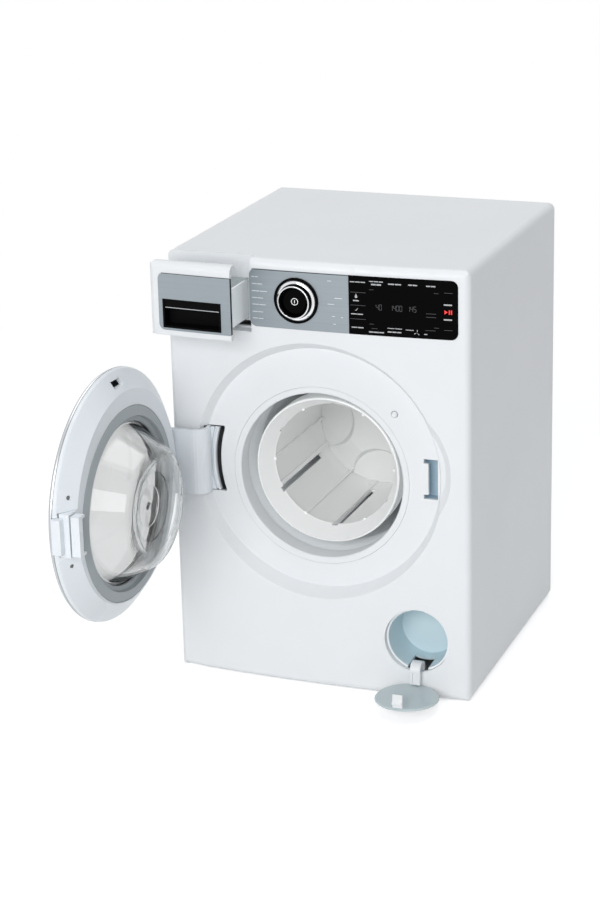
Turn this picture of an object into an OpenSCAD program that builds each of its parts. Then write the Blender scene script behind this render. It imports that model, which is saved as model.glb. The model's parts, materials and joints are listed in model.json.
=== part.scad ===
// Toy front-loading washing machine: bowed front, gooseneck-hinged porthole door, detergent drawer,
// turning programme knob with a push button, spinning drum with its motor drive, and a filter flap.
// Millimetres, +Z up. The origin is the centre of the base. The front faces -Y.
// The door, the drawer and the filter flap are drawn open; *_open and drawer_out say how far.

/* [Cabinet] */
// Width of the cabinet
body_w = 184; // [176:1:200]
// Depth of the cabinet at its front corners
body_d = 178; // [172:1:195]
// Height of the cabinet
body_h = 260; // [256:1:275]
// How far the middle of the front bulges past its corners
front_bow = 4.1; // [3:0.1:5]
// Radius of the cabinet's rounded edges
edge_r = 4; // [3:0.5:5]
// Wall thickness of the moulded housing
wall = 2.2; // [1.8:0.1:2.4]
// Depth of the front moulding's skirt, from the front corners to the seam
front_skirt = 8; // [7:0.5:10]

/* [Door] */
// Height of the door's centre
door_z = 134.5; // [132:0.5:138]
// Radius of the door's rim
door_r = 73; // [71:0.5:74]
// Depth of the round recess below the middle of the front
recess_depth = 8.1; // [7.5:0.1:8.5]
// Width of the bevel round the recess
recess_bevel = 4; // [3:0.5:5]
// Gap between the rim of the door and the foot of the recess wall
door_gap = 0.4; // [0.3:0.1:0.8]
// How far the door stands open
door_open = 92; // [60:1:94]
// Height of the hinge arm
arm_h = 40; // [34:1:42]
// Thickness of the hinge arm
arm_t = 2.2; // [1.8:0.1:2.4]
// How far the crest of the clear bowl stands out behind the recess floor
bowl_depth = 17.5; // [14:0.5:22]
// Wall thickness of the clear bowl
bowl_wall = 1.5; // [1.2:0.1:2]

/* [Drum and tub] */
// Height of the drum's axis and of the loading mouth
mouth_z = 130; // [129:0.5:131]
// Radius of the loading mouth
mouth_r = 50.3; // [50:0.1:52]
// Outer radius of the drum's front ring
drum_ring_r = 44.6; // [43:0.1:45.5]
// Inner radius of the drum
drum_r = 39.6; // [39:0.1:41.2]
// Wall thickness of the drum
drum_wall = 1.8; // [1.4:0.1:2.4]
// Length of the drum from its front ring to its back
drum_len = 98.5; // [86:0.5:99]
// Number of long water slots in the drum
drum_slots = 6; // [4:1:8]
// Teeth on the drum's gear
gear_teeth = 48; // [40:4:52]
// Teeth on the motor's pinion
pinion_teeth = 12; // [10:1:14]

/* [Control panel] */
// Left edge of the brushed fascia
panel_x0 = -38.4; // [-40:0.1:-37]
// Edge where the fascia meets the display
panel_split = 22; // [16:0.5:30]
// Right edge of the display
panel_x1 = 85.3; // [80:0.1:86]
// Lower edge of the control panel
panel_z0 = 220.2; // [219:0.1:222]
// Upper edge of the control panel
panel_z1 = 254.2; // [250:0.1:255]
// Distance of the knob's axis left of the middle
knob_left = 9.6; // [6:0.1:14]
// Radius of the knob at its base
knob_r = 11.6; // [10.5:0.1:12.2]
// Height of the knob above the fascia
knob_h = 4.9; // [4:0.1:7]
// Radius of the push button in the middle of the knob
button_r = 7; // [6:0.1:7.2]

/* [Detergent drawer] */
// How far the drawer is pulled out
drawer_out = 24; // [0:1:30]
// Right edge of the drawer's notch in the front
notch_x = -38; // [-40:0.5:-37.5]
// Lower edge of the drawer's notch
notch_z = 216.5; // [215:0.5:217]
// Depth of the notch below the middle of the front
notch_depth = 8.6; // [8:0.1:9]
// Length of the detergent tray behind the drawer's front
tray_len = 66; // [50:1:80]
// Height of the detergent tray
tray_h = 22.5; // [18:0.5:23]

/* [Filter flap] */
// Distance of the filter's axis right of the middle
filter_x = 60; // [56:0.5:64]
// Height of the filter's axis
filter_z = 36; // [34:0.5:40]
// Radius of the filter hole in the front
filter_r = 19.5; // [18:0.1:20]
// Depth of the filter cup
filter_depth = 24; // [18:1:30]
// How far the filter flap stands open
flap_open = 90; // [60:1:90]

/* [Hidden] */

// Smoothness: large curves, ordinary round parts, small pins.
fn_big = 180;
fn_mid = 96;
fn_small = 48;
eps = 0.01;

// Clearances.
fit_gap = 0.3;      // between curved faces of pieces that move apart
seat_gap = 0.1;     // between a piece and the seat that holds it
pin_gap = 0.05;     // radial, between a pin and its knuckle

// The front surface is part of a large upright cylinder.
front_y = -(body_d / 2 + front_bow);
bow_r = (pow(body_w / 2, 2) + pow(front_bow, 2)) / (2 * front_bow);
bow_axis_y = front_y + bow_r;
back_y = body_d / 2;
seam_y = -body_d / 2 + front_skirt;

// Y of the bowed front at a given x, and at a given depth below the surface.
function front_at(x, depth = 0) = bow_axis_y - sqrt(pow(bow_r - depth, 2) - x * x);

// Door, recess and hinge.
floor_y = front_y + recess_depth;
recess_r = door_r;
strip_back = floor_y + wall;
recess_slope = recess_bevel / (recess_depth - 1.5);
hinge_x = -(door_r + 7);
hinge_y = floor_y + 3.35;
hinge_pin_r = 1.5;
knuckle_r = 2.8;
arm_z0 = door_z - 0.5 * arm_h + 0.5;
foot_t = 1.9;
frame_back = door_gap + 1.2;       // height of the door's back above the recess floor
foot_w = frame_back + 7.8;         // height of the arm's foot above the recess floor
frame_t = 2.5;
rim_w = frame_back + 8.8;          // height of the door's rim above the recess floor
trim_w = rim_w + 1.2;
face_w = trim_w + 4.4;
window_ring_r = 56.5;
window_in_r = window_ring_r - 6;    // inner edge of the window ring
bowl_r = 45.6;                     // root of the clear bowl, in the window ring
bowl_flange = 3.8;
bowl_round = 7;                    // radius of the bowl's crest
bowl_crest = 29.6;                 // distance of the crest's centre from the axis
bowl_dish = 7.1;                   // how far the middle of the bowl is drawn back from its crest
ring_seat = 3;                     // thickness of the window ring at its inner ledge
bezel_r = 60;
pane_r = 48.5;
pane_t = 1.6;
slot_x0 = hinge_x + 6.4;
slot_x1 = hinge_x + 20;
neck_relief = 2.6;
latch_x0 = door_r - 10;
latch_x1 = door_r - 1.5;
latch_h = 24.1;
latch_z0 = door_z - latch_h / 2 + 0.2;
latch_lip = 2.6;
latch_hook = 2.8;                  // how far the two hooks of the latch reach past its bar
latch_tab = 20.4;                  // height of the finger tab outside the latch
switch_x = 45.7;
switch_z = door_z + 37.5;
switch_r = 1.8;
switch_out = 1.3;

// Tub and drum, along the drum's axis.
lip_r = mouth_r + 3.9;
tub_wall = 2;
tub_r = mouth_r + 1.2;
tub_y0 = floor_y + 13;
drum_y0 = floor_y + 10.5;
drum_y1 = drum_y0 + drum_len;
funnel_len = 13.5;
bead_r = drum_r - 2.2;             // inner radius of the bead behind the funnel
back_t = 3;                        // thickness of the drum's back at its edge
tub_y1 = drum_y1 + 16;
tub_back = 3;
shaft_r = 4;
gear_module = 1.25;
gear_w = 8;
gear_y = tub_y1 + tub_back + 3;
gear_r = gear_module * gear_teeth / 2;
pinion_r = gear_module * pinion_teeth / 2;
gear_centres = gear_r + pinion_r + 0.15;
motor_z = mouth_z - gear_centres;
motor_r = 12;
motor_len = 22;
plate_y = gear_y + gear_w + 2;
slot_w = 3.3;

// Control panel.
panel_pocket = 0.9;
panel_proud = 0.25;
knob_x = -knob_left;
knob_z = panel_z0 + (panel_z1 - panel_z0) / 2 + 0.1;
knob_y = front_y - panel_proud - 0.15;
knob_bore = button_r + fit_gap;
stem_bore = knob_bore + 0.9;
stem_r = stem_bore + 1.1;
bezel_w = 1.5;
button_top = knob_h - 2.5;
board_y = floor_y + 1;

// Drawer.
notch_y = front_y + notch_depth;
drawer_gap = 0.5;
drawer_skin = 2.4;
drawer_x1 = notch_x - 2.5;
tray_x0 = -(body_w / 2 - wall) + 2.2;
tray_x1 = drawer_x1 - 3.3;
tray_z0 = notch_z + 5.5;
tray_y0 = notch_y + 2.6;
tray_wall = 1.4;
trim_x0 = -body_w / 2 + 6;
grip_x0 = trim_x0 + 2.5;
grip_x1 = drawer_x1 - 6;
grip_z0 = notch_z + 5;
grip_z1 = grip_z0 + 17;
grip_wall = 1.2;
grip_depth = notch_y + 2.3 - front_at(grip_x0);
drawer_slot_z1 = tray_z0 + tray_h + 1.6;

// Filter and its flap.
flap_r = filter_r - 0.6;
flap_t = 1.6;
flap_y = front_at(filter_x) + 1.36;      // inner face of the closed flap
cup_y0 = flap_y + 1;
cup_wall = 1.2;
cup_end_r = filter_r - 2.3;
pivot_y = flap_y + 3.3;
pivot_z = filter_z - filter_r - 4.2;
flap_arm_w = 6.2;
gate_margin = 3.2;                 // free width beside the flap's arm
catch_w = 6;
catch_len = 8.5;
flap_pin_r = 1;
flap_knuckle_r = 1.9;

// Battery compartment in the rear wall.
cell_r = 7.1;
cell_len = 50;
cells = 4;
cell_pitch = 15.2;
batt_w = cells * cell_pitch + 4;
batt_h = cell_len + 8;
batt_d = 19;
batt_x = -body_w / 2 + batt_w / 2 + 14;
batt_z = 26 + batt_h / 2;
rear_t = 2.4;
rear_inset = 0.8;
rear_out = back_y - rear_inset;
cover_t = 1.6;

// ---------------------------------------------------------------- helpers

// Local x stays x, local y points up and local z points out of the front.
module outward(x, y, z) {
  translate([x, y, z]) rotate([90, 0, 0]) children();
}

// A disc or cone whose axis points out of the front, from the plane y inwards.
module front_disc(x, z, y, len, r1, r2 = 0, fn = 96) {
  outward(x, y, z) cylinder(h = len, r1 = r1, r2 = r2 > 0 ? r2 : r1, $fn = fn);
}

// Box between two corners.
module box(a, b) {
  translate(a) cube([b[0] - a[0], b[1] - a[1], b[2] - a[2]]);
}

// Rectangle with four round corners.
module round_rect(x0, y0, x1, y1, r) {
  translate([x0 + r, y0]) square([x1 - x0 - 2 * r, y1 - y0]);
  translate([x0, y0 + r]) square([x1 - x0, y1 - y0 - 2 * r]);
  for (x = [x0 + r, x1 - r], y = [y0 + r, y1 - r]) translate([x, y]) circle(r, $fn = fn_small);
}

// Solid bounded by the bowed front with rounded upper and lower edges, inset all round.
module bowed_front(inset) {
  r = max(edge_r - inset, 0.8);
  span = 8;
  translate([0, bow_axis_y, 0]) rotate([0, 0, -90 - span])
    rotate_extrude(angle = 2 * span, $fn = 720)
      translate([bow_r - body_d - 3 * edge_r, 0])
        union() {
          translate([0, inset]) square([body_d + 3 * edge_r - inset - r, body_h - 2 * inset]);
          translate([0, inset + r]) square([body_d + 3 * edge_r - inset, body_h - 2 * inset - 2 * r]);
          for (z = [inset + r, body_h - inset - r])
            translate([body_d + 3 * edge_r - inset - r, z]) circle(r, $fn = fn_small);
        }
}

// The cabinet's outer form, inset all round.
module cabinet_form(inset) {
  r = max(edge_r - inset, 0.8);
  half = body_w / 2 - inset;
  corner_y = bow_axis_y - sqrt(pow(bow_r - inset - r, 2) - pow(half - r, 2)) - 0.03;
  intersection() {
    bowed_front(inset);
    // Upright edges.
    translate([0, 0, -1]) linear_extrude(body_h + 2) {
      translate([-half + r, front_y - 5]) square([2 * (half - r), back_y - front_y + 5 - inset]);
      translate([-half, corner_y]) square([2 * half, back_y - inset - corner_y]);
      for (x = [-half + r, half - r]) translate([x, corner_y]) circle(r, $fn = fn_small);
    }
    // Edges that run from front to back.
    translate([0, back_y + 1, 0]) rotate([90, 0, 0]) linear_extrude(body_d + 20)
      round_rect(-half, inset, half, body_h - inset, r);
  }
}

// A sheet that follows the bowed front: outline children(), from proud of the surface to below it.
module bowed_sheet(proud, depth) {
  intersection() {
    translate([0, front_y + 12, 0]) rotate([90, 0, 0]) linear_extrude(24) children();
    difference() {
      translate([0, bow_axis_y, -1]) cylinder(h = body_h + 2, r = bow_r + proud, $fn = 2000);
      translate([0, bow_axis_y, -2]) cylinder(h = body_h + 4, r = bow_r - depth, $fn = 2000);
    }
  }
}

// Points along an arc, from one angle to another.
function arc(centre, r, a0, a1, n) = [for (i = [0 : n]) let (a = a0 + (a1 - a0) * i / n) centre + r * [cos(a), sin(a)]];

// Outline of a strip of constant thickness along a path, with mitred corners.
function side(path, i) =
  let (last = len(path) - 1, a = path[max(i - 1, 0)], b = path[i], c = path[min(i + 1, last)],
    u = i == 0 ? (c - b) / norm(c - b) : (b - a) / norm(b - a),
    v = i == last ? u : (c - b) / norm(c - b),
    m = (u + v) / norm(u + v))
  [-m[1], m[0]] / (m * u);
module strip(path, t) {
  last = len(path) - 1;
  polygon(concat([for (i = [0 : last]) path[i] - side(path, i) * t / 2],
    [for (i = [last : -1 : 0]) path[i] + side(path, i) * t / 2]));
}

// One involute gear, as an outline. The first tooth points along +x.
function involute(base, a) = [base * (cos(a) + a * PI / 180 * sin(a)), base * (sin(a) - a * PI / 180 * cos(a))];
module gear_outline(teeth, slack) {
  pitch = gear_module * teeth / 2;
  base = pitch * cos(20);
  tip = pitch + 0.9 * gear_module;
  root = pitch - 1.2 * gear_module;
  tip_a = sqrt(pow(tip / base, 2) - 1) * 180 / PI;
  roll = sqrt(pow(pitch / base, 2) - 1) * 180 / PI;
  half = 90 / teeth - slack / pitch * 90 / PI + roll - atan2(sqrt(pow(pitch, 2) - pow(base, 2)), base);
  start = root > base ? sqrt(pow(root / base, 2) - 1) * 180 / PI : 0;
  steps = 4;
  polygon([for (k = [0 : teeth - 1]) let (c = 360 * k / teeth) each concat(
    [root * [cos(c - half - (root > base ? 0 : 0.4)), sin(c - half - (root > base ? 0 : 0.4))]],
    [for (i = [0 : steps]) let (a = start + (tip_a - start) * i / steps, p = involute(base, a),
      q = atan2(p[1], p[0]), r = norm(p)) r * [cos(c - half + q), sin(c - half + q)]],
    [for (i = [steps : -1 : 0]) let (a = start + (tip_a - start) * i / steps, p = involute(base, a),
      q = atan2(p[1], p[0]), r = norm(p)) r * [cos(c + half - q), sin(c + half - q)]],
    [root * [cos(c + half + (root > base ? 0 : 0.4)), sin(c + half + (root > base ? 0 : 0.4))]]
  )]);
}

// Places what is drawn closed where it stands open.
module door_pose() {
  translate([hinge_x, hinge_y, 0]) rotate([0, 0, -door_open]) translate([-hinge_x, -hinge_y, 0]) children();
}
module drawer_pose() {
  translate([0, -drawer_out, 0]) children();
}
module flap_pose() {
  translate([0, pivot_y, pivot_z]) rotate([flap_open, 0, 0]) translate([0, -pivot_y, -pivot_z]) children();
}

// A revolved solid on the door's or the window's axis; its profile is [radius, height above the floor].
module on_door(profile) {
  outward(0, floor_y, door_z) rotate_extrude($fn = fn_big) polygon(profile);
}
module on_window(profile) {
  outward(0, floor_y, mouth_z) rotate_extrude($fn = fn_big) polygon(profile);
}

// ---------------------------------------------------------------- cabinet

// Everything that the front moulding leaves open.
module latch_outline(gap) {
  translate([latch_x0 + latch_hook - gap, latch_z0 - gap]) square([latch_x1 - latch_x0 - latch_hook + 2 * gap, latch_h + 2 * gap]);
  for (z = [latch_z0, latch_z0 + latch_h - latch_lip])
    translate([latch_x0 - gap, z - gap]) square([latch_x1 - latch_x0 + gap, latch_lip + 2 * gap]);
}

// The shallow scoop that widens the recess beside the latch, grown by a wall.
module scoop(grow) {
  front_disc(door_r * 0.55, door_z + 4.5, floor_y - 1.5 + grow, recess_depth, door_r * 0.5 + grow, door_r * 0.635 + grow, fn_big);
}

module front_panel() {
  color("white") difference() {
    union() {
      // Skin of the front and its skirt.
      difference() {
        cabinet_form(0);
        cabinet_form(wall);
        box([-body_w, seam_y, -1], [body_w, back_y + 1, body_h + 1]);
      }
      intersection() {
        cabinet_form(0.05);
        union() {
          // Dish behind the door.
          front_disc(0, door_z, strip_back, recess_depth + wall + 1, recess_r + wall,
            recess_r + wall + recess_slope * (recess_depth + wall + 1), fn_big);
          // Back of the scoop for the fingers.
          scoop(wall);
          // Box behind the drawer's notch.
          box([-body_w / 2, front_y - 1, notch_z - wall], [notch_x + wall, notch_y + wall, body_h]);
          // Collar round the filter hole.
          front_disc(filter_x, filter_z, cup_y0, 10, filter_r + wall, fn = fn_mid);
        }
      }
      // Posts that carry the control board.
      for (x = [panel_x0 + 14, panel_x1 - 9], z = [panel_z0 + 4, panel_z1 - 4])
        intersection() {
          cabinet_form(0.05);
          front_disc(x, z, board_y - seat_gap, 20, 2.4, fn = fn_small);
        }
    }
    // Round recess with its bevel, and the scoop for the fingers.
    front_disc(0, door_z, floor_y, recess_depth + 2, recess_r, recess_r + recess_slope * (recess_depth + 2), fn_big);
    scoop(0);
    // Loading mouth.
    front_disc(0, mouth_z, strip_back + 1, recess_depth + wall + 3, lip_r + seat_gap, fn = fn_big);
    // Slots for the hinge arm and the latch, and the hole for the switch pin.
    difference() {
      box([slot_x0, floor_y - 3.2, arm_z0 - 0.3], [slot_x1, strip_back + 1, arm_z0 + arm_h + 0.3]);
      front_disc(0, door_z, strip_back + 2, 12, -slot_x1 + 2.9, fn = fn_big);
    }
    // Relief behind the slot's edge, where the neck of the arm lies when the door is open.
    box([slot_x0 - neck_relief, floor_y + wall / 3, arm_z0 - 0.3], [slot_x0 + 1, strip_back + 1, arm_z0 + arm_h + 0.3]);
    outward(0, strip_back + 1, 0) linear_extrude(wall + 2) latch_outline(0);
    front_disc(switch_x, switch_z, strip_back + 1, wall + 2, switch_r + fit_gap, fn = fn_small);
    // Notch for the drawer's front and the slot for its tray.
    box([-body_w, front_y - 5, notch_z], [notch_x, notch_y, body_h + 1]);
    box([tray_x0 - 1, notch_y - 1, notch_z + 1], [notch_x - 0.5, notch_y + wall + 1, drawer_slot_z1]);
    // Filter hole.
    front_disc(filter_x, filter_z, cup_y0 + 6, 17, filter_r, fn = fn_mid);
    // Pocket for the control panel and the hole for the knob.
    bowed_sheet(1, panel_pocket) round_rect(panel_x0 - 0.05, panel_z0 - 0.05, panel_x1 + 0.05, panel_z1 + 0.05, 4);
    front_disc(knob_x, knob_z, knob_y + 12, 14, stem_r + fit_gap, fn = fn_mid);
  }
}

// Left, right and upper walls in one moulding, with a lip along the bottom.
module cabinet_shell() {
  lip = 8;
  color("white") difference() {
    cabinet_form(0);
    cabinet_form(wall);
    box([-body_w, front_y - 5, -1], [body_w, seam_y, body_h + 1]);
    box([-body_w / 2 + lip, seam_y - 1, -1], [body_w / 2 - lip, back_y + 1, wall + 1]);
    box([-body_w / 2 + wall, back_y - 12, wall], [body_w / 2 - wall, back_y + 1, body_h - wall]);
  }
}

module base_plate() {
  lip = 8;
  color("gainsboro") difference() {
    union() {
      box([-body_w / 2 + lip + seat_gap, seam_y + seat_gap, 0], [body_w / 2 - lip - seat_gap, rear_out - rear_t - seat_gap, wall]);
      // Rim that overlaps the shell's lip.
      for (s = [-1, 1])
        translate([s * (body_w / 2 - lip), (seam_y + back_y) / 2, wall + seat_gap + 0.8])
          cube([8, body_d - 40, 1.6], center = true);
      for (s = [-1, 1])
        translate([s * (body_w / 2 - lip - 2.6), (seam_y + back_y) / 2, wall / 2 + 0.9])
          cube([4, body_d - 40, wall + 1.6], center = true);
    }
    // Sockets for the feet and the sound holes under the speaker.
    for (x = [-1, 1], y = [-1, 1])
      translate([x * foot_x, y * foot_y, -1]) cylinder(h = 2.2, r = foot_r + seat_gap, $fn = fn_small);
    for (i = [-2 : 2], j = [-2 : 2])
      if (abs(i) + abs(j) < 4)
        translate([speaker_x + 5 * i, speaker_y + 5 * j, -1]) cylinder(h = wall + 4, r = 1.1, $fn = 24);
  }
}
foot_r = 7;
foot_x = body_w / 2 - 22;
foot_y = body_d / 2 - 24;
speaker_x = 48;
speaker_y = 30;
speaker_r = 20;

module feet() {
  color("dimgray")
    for (x = [-1, 1], y = [-1, 1])
      translate([x * foot_x, y * foot_y, 0]) cylinder(h = 1.1, r = foot_r, $fn = fn_small);
}

module rear_cover() {
  color("gainsboro") difference() {
    union() {
      box([-body_w / 2 + wall + seat_gap, rear_out - rear_t, wall + seat_gap],
        [body_w / 2 - wall - seat_gap, rear_out, body_h - wall - seat_gap]);
      // Stiffening ribs inside.
      for (x = [-60, -20, 20, 60])
        box([x - 0.8, rear_out - rear_t - 4, body_h * 0.42], [x + 0.8, rear_out - rear_t + eps, body_h - 14]);
    }
    // Opening for the battery cover.
    box([batt_x - batt_w / 2, rear_out - rear_t - 1, batt_z - batt_h / 2], [batt_x + batt_w / 2, rear_out + 1, batt_z + batt_h / 2]);
    // Screw recesses.
    for (p = rear_screws) translate([p[0], rear_out + 1, p[1]]) rotate([90, 0, 0]) cylinder(h = 2, r = 3.4, $fn = fn_small);
    for (p = rear_screws) translate([p[0], rear_out + 1, p[1]]) rotate([90, 0, 0]) cylinder(h = 6, r = 1.5, $fn = 24);
    // Vent slots.
    for (i = [0 : 6])
      box([18 + 7 * i, rear_out - rear_t - 1, 150], [20.5 + 7 * i, rear_out + 1, 182]);
  }
}
rear_screws = [for (x = [-1, 1], z = [12, body_h / 2, body_h - 12]) [x * (body_w / 2 - 10), z]];

module cabinet_screws() {
  color("silver") for (p = rear_screws) translate([p[0], rear_out - 1, p[1]]) rotate([90, 0, 0]) difference() {
    union() {
      translate([0, 0, -1]) cylinder(h = 1, r1 = 2.2, r2 = 2.9, $fn = fn_small);
      cylinder(h = 6, r = 1.4, $fn = 24);
    }
    for (a = [0, 90]) rotate(a) translate([0, 0, -1]) cube([3.2, 0.7, 1.2], center = true);
  }
}

// ---------------------------------------------------------------- control panel

module fascia_plate() {
  color("silver") difference() {
    bowed_sheet(panel_proud, panel_pocket - 0.05) difference() {
      round_rect(panel_x0, panel_z0, panel_x1, panel_z1, 4);
      translate([panel_split, panel_z0 - 1]) square([body_w, panel_z1 - panel_z0 + 2]);
    }
    front_disc(knob_x, knob_z, knob_y + 12, 14, stem_r + fit_gap, fn = fn_mid);
  }
}

module display_window() {
  color("black")
    bowed_sheet(panel_proud + 0.1, panel_pocket - 0.05) difference() {
      round_rect(panel_x0, panel_z0, panel_x1, panel_z1, 4);
      translate([panel_x0 - 1, panel_z0 - 1]) square([panel_split - panel_x0 + 1.05, panel_z1 - panel_z0 + 2]);
    }
}

module knob_bezel() {
  color("black") outward(knob_x, knob_y, knob_z) rotate_extrude($fn = fn_mid) polygon([
    [knob_r + fit_gap, 0], [knob_r + fit_gap + bezel_w, 0], [knob_r + fit_gap + bezel_w, 0.5],
    [knob_r + fit_gap + bezel_w - 0.4, 0.9], [knob_r + fit_gap, 0.9]]);
}

module knob_ring() {
  color("silver") outward(knob_x, knob_y, knob_z) rotate_extrude($fn = fn_mid) polygon([
    [knob_r - 1.4, 0.3], [knob_r, 0.3], [knob_r, 1], [knob_r - 0.5, 1.5], [knob_r - 1.4, 1.7]]);
}

module knob_body() {
  taper = 0.9;
  color("black") outward(knob_x, knob_y, knob_z) rotate_extrude($fn = fn_mid) polygon([
    [knob_bore, 0.3], [knob_r - 1.45, 0.3], [knob_r - 1.45, 2.2], [knob_r - 1.5 - 0.2 * taper, knob_h * 0.7],
    [knob_r - 1.2 - taper, knob_h - 0.25], [knob_r - 2 - taper, knob_h - 0.25], [knob_bore, button_top + 0.1]]);
}

module knob_rim() {
  color("white") outward(knob_x, knob_y, knob_z) rotate_extrude($fn = fn_mid) polygon([
    [knob_r - 2.9, knob_h - 0.2], [knob_r - 2.1, knob_h - 0.2], [knob_r - 2, knob_h], [knob_r - 2.3, knob_h + 0.25],
    [knob_r - 2.7, knob_h + 0.25]]);
}

module knob_stem() {
  color("dimgray") outward(knob_x, knob_y, knob_z) difference() {
    union() {
      translate([0, 0, -6]) cylinder(h = 6.3, r = stem_r, $fn = fn_mid);
      translate([0, 0, -6]) cylinder(h = 1.6, r = stem_r + 1.4, $fn = fn_mid);
    }
    translate([0, 0, -7]) cylinder(h = 9, r = stem_bore, $fn = fn_mid);
  }
}

module power_button() {
  color("black") outward(knob_x, knob_y, knob_z) {
    translate([0, 0, button_top - 1.8]) cylinder(h = 1.8, r = button_r, $fn = fn_mid);
    translate([0, 0, -6.6]) cylinder(h = 6.6 + button_top - 1.7, r = 2.4, $fn = fn_small);
  }
}

module button_guide() {
  color("dimgray") outward(knob_x, knob_y, knob_z) difference() {
    union() {
      translate([0, 0, -(board_y - knob_y) + seat_gap]) cylinder(h = board_y - knob_y - 2 - seat_gap, r = 4.2, $fn = fn_small);
      translate([0, 0, -(board_y - knob_y) + seat_gap]) cylinder(h = 1.2, r = 6.4, $fn = fn_small);
    }
    translate([0, 0, -(board_y - knob_y) + 1.3]) cylinder(h = 20, r = 2.4 + 0.08, $fn = fn_small);
  }
}

module control_board() {
  x0 = panel_x0 + 8;
  color("darkgreen") difference() {
    union() {
      box([x0, board_y, panel_z0 - 2], [panel_x1 - 3, board_y + 1.6, panel_z1]);
      // Driver chip, sounder and the plug for the wires, on the back.
      box([8, board_y + 1.5, panel_z0 + 10], [20, board_y + 3.6, panel_z0 + 22]);
      translate([52, board_y + 1.5, panel_z0 + 14]) rotate([-90, 0, 0]) cylinder(h = 4, r = 6, $fn = fn_small);
      box([-28, board_y + 1.5, panel_z0 + 4], [-14, board_y + 7, panel_z0 + 10]);
    }
    for (x = [panel_x0 + 14, panel_x1 - 9], z = [panel_z0 + 4, panel_z1 - 4])
      front_disc(x, z, board_y + 3, 6, 1, fn = 24);
  }
}

module speaker() {
  color("dimgray") translate([speaker_x, speaker_y, wall + seat_gap]) {
    cylinder(h = 2, r = speaker_r, $fn = fn_mid);
    translate([0, 0, 2]) cylinder(h = 5, r1 = speaker_r - 2, r2 = speaker_r * 0.55, $fn = fn_mid);
    translate([0, 0, 7]) cylinder(h = 5, r = speaker_r * 0.5, $fn = fn_mid);
  }
}

// ---------------------------------------------------------------- door opening, tub and drive

module opening_ring() {
  flange = 3.6;
  color("white") outward(0, floor_y, mouth_z) rotate_extrude($fn = fn_big) polygon([
    [mouth_r + 0.6, 0], [lip_r, 0], [lip_r, -wall - seat_gap], [lip_r + flange, -wall - seat_gap],
    [lip_r + flange, -wall - 1.6], [mouth_r + tub_wall, -wall - 1.6], [mouth_r + tub_wall, floor_y - tub_y0 + 1],
    [mouth_r, floor_y - tub_y0 + 1], [mouth_r, -0.6]]);
}

module tub() {
  rim = mouth_r + 5;
  color("lightblue") difference() {
    union() {
      outward(0, 0, mouth_z) rotate_extrude($fn = fn_big) polygon([
        [tub_r, -tub_y0], [rim, -tub_y0], [rim, -tub_y0 - 2], [tub_r + tub_wall, -tub_y0 - 2],
        [tub_r + tub_wall, -tub_y1 - tub_back], [shaft_r + 6, -tub_y1 - tub_back], [shaft_r + 6, -tub_y1],
        [tub_r, -tub_y1]]);
      // Hub and ribs on the back.
      for (a = [0 : 60 : 300])
        translate([0, tub_y1, mouth_z]) rotate([0, a, 0]) box([gear_r + 5, 0, -0.9], [tub_r, tub_back + 2.4, 0.9]);
    }
  }
}

module tub_cradle() {
  color("gainsboro") difference() {
    for (y = [tub_y0 + 22, tub_y1 - 36]) box([-34, y, wall + seat_gap], [34, y + 3, mouth_z - 30]);
    front_disc(0, mouth_z, tub_y1, tub_y1 - tub_y0, tub_r + tub_wall + seat_gap, fn = fn_big);
    for (y = [tub_y0 + 22, tub_y1 - 36])
      box([-14, y - 1, 14], [14, y + 4, 58]);
  }
}

module drum_bearing() {
  color("goldenrod") outward(0, tub_y1 + tub_back + 1.5, mouth_z) difference() {
    union() {
      cylinder(h = tub_back + 3, r = shaft_r + 6 - 0.02, $fn = fn_mid);
      cylinder(h = 1.5 - seat_gap, r = shaft_r + 8, $fn = fn_mid);
    }
    translate([0, 0, -1]) cylinder(h = tub_back + 6, r = shaft_r + pin_gap, $fn = fn_mid);
  }
}

module drum_shaft() {
  color("silver") translate([0, drum_y1 - 4, mouth_z]) rotate([-90, 0, 0]) {
    cylinder(h = gear_y + gear_w + 1 - drum_y1 + 4, r = shaft_r, $fn = fn_mid);
  }
}

module drum_shell() {
  y0 = drum_y0 + funnel_len + 0.4;
  y1 = drum_y1 - back_t - seat_gap;
  band = 2.6;
  color("whitesmoke") difference() {
    union() {
      difference() {
        front_disc(0, mouth_z, drum_y1, drum_len - funnel_len, drum_r + drum_wall, fn = fn_big);
        front_disc(0, mouth_z, drum_y1 + 1, drum_len + 2, drum_r, fn = fn_big);
      }
      for (k = [0 : drum_slots - 1]) {
        a = 360 / drum_slots * k;
        // A lifting band beside each slot, with a block at its front end.
        translate([0, 0, mouth_z]) rotate([0, -a - 180 / drum_slots, 0]) {
          box([drum_r - 1.3, y0, -slot_w / 2 - 0.3 - band], [drum_r + 0.6, y1, -slot_w / 2 - 0.3]);
          box([drum_r - 2, y0, -slot_w / 2 - 0.3 - band], [drum_r + 0.6, y0 + 2, -slot_w / 2 - 0.3]);
        }
        // A seam rib halfway between the slots; it rises towards the back.
        translate([0, 0, mouth_z]) rotate([0, -a, 0]) translate([0, 0, -0.45]) linear_extrude(0.9)
          polygon([[drum_r - 0.4, y0], [drum_r + 0.6, y0], [drum_r + 0.6, y1], [drum_r - 2.2, y1]]);
      }
    }
    for (k = [0 : drum_slots - 1])
      translate([0, 0, mouth_z]) rotate([0, -360 / drum_slots * (k + 0.5), 0])
        box([drum_r - 2, drum_y0 + funnel_len - 1, -slot_w / 2], [drum_r + drum_wall + 2, drum_y1 - 17, slot_w / 2]);
  }
}

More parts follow.
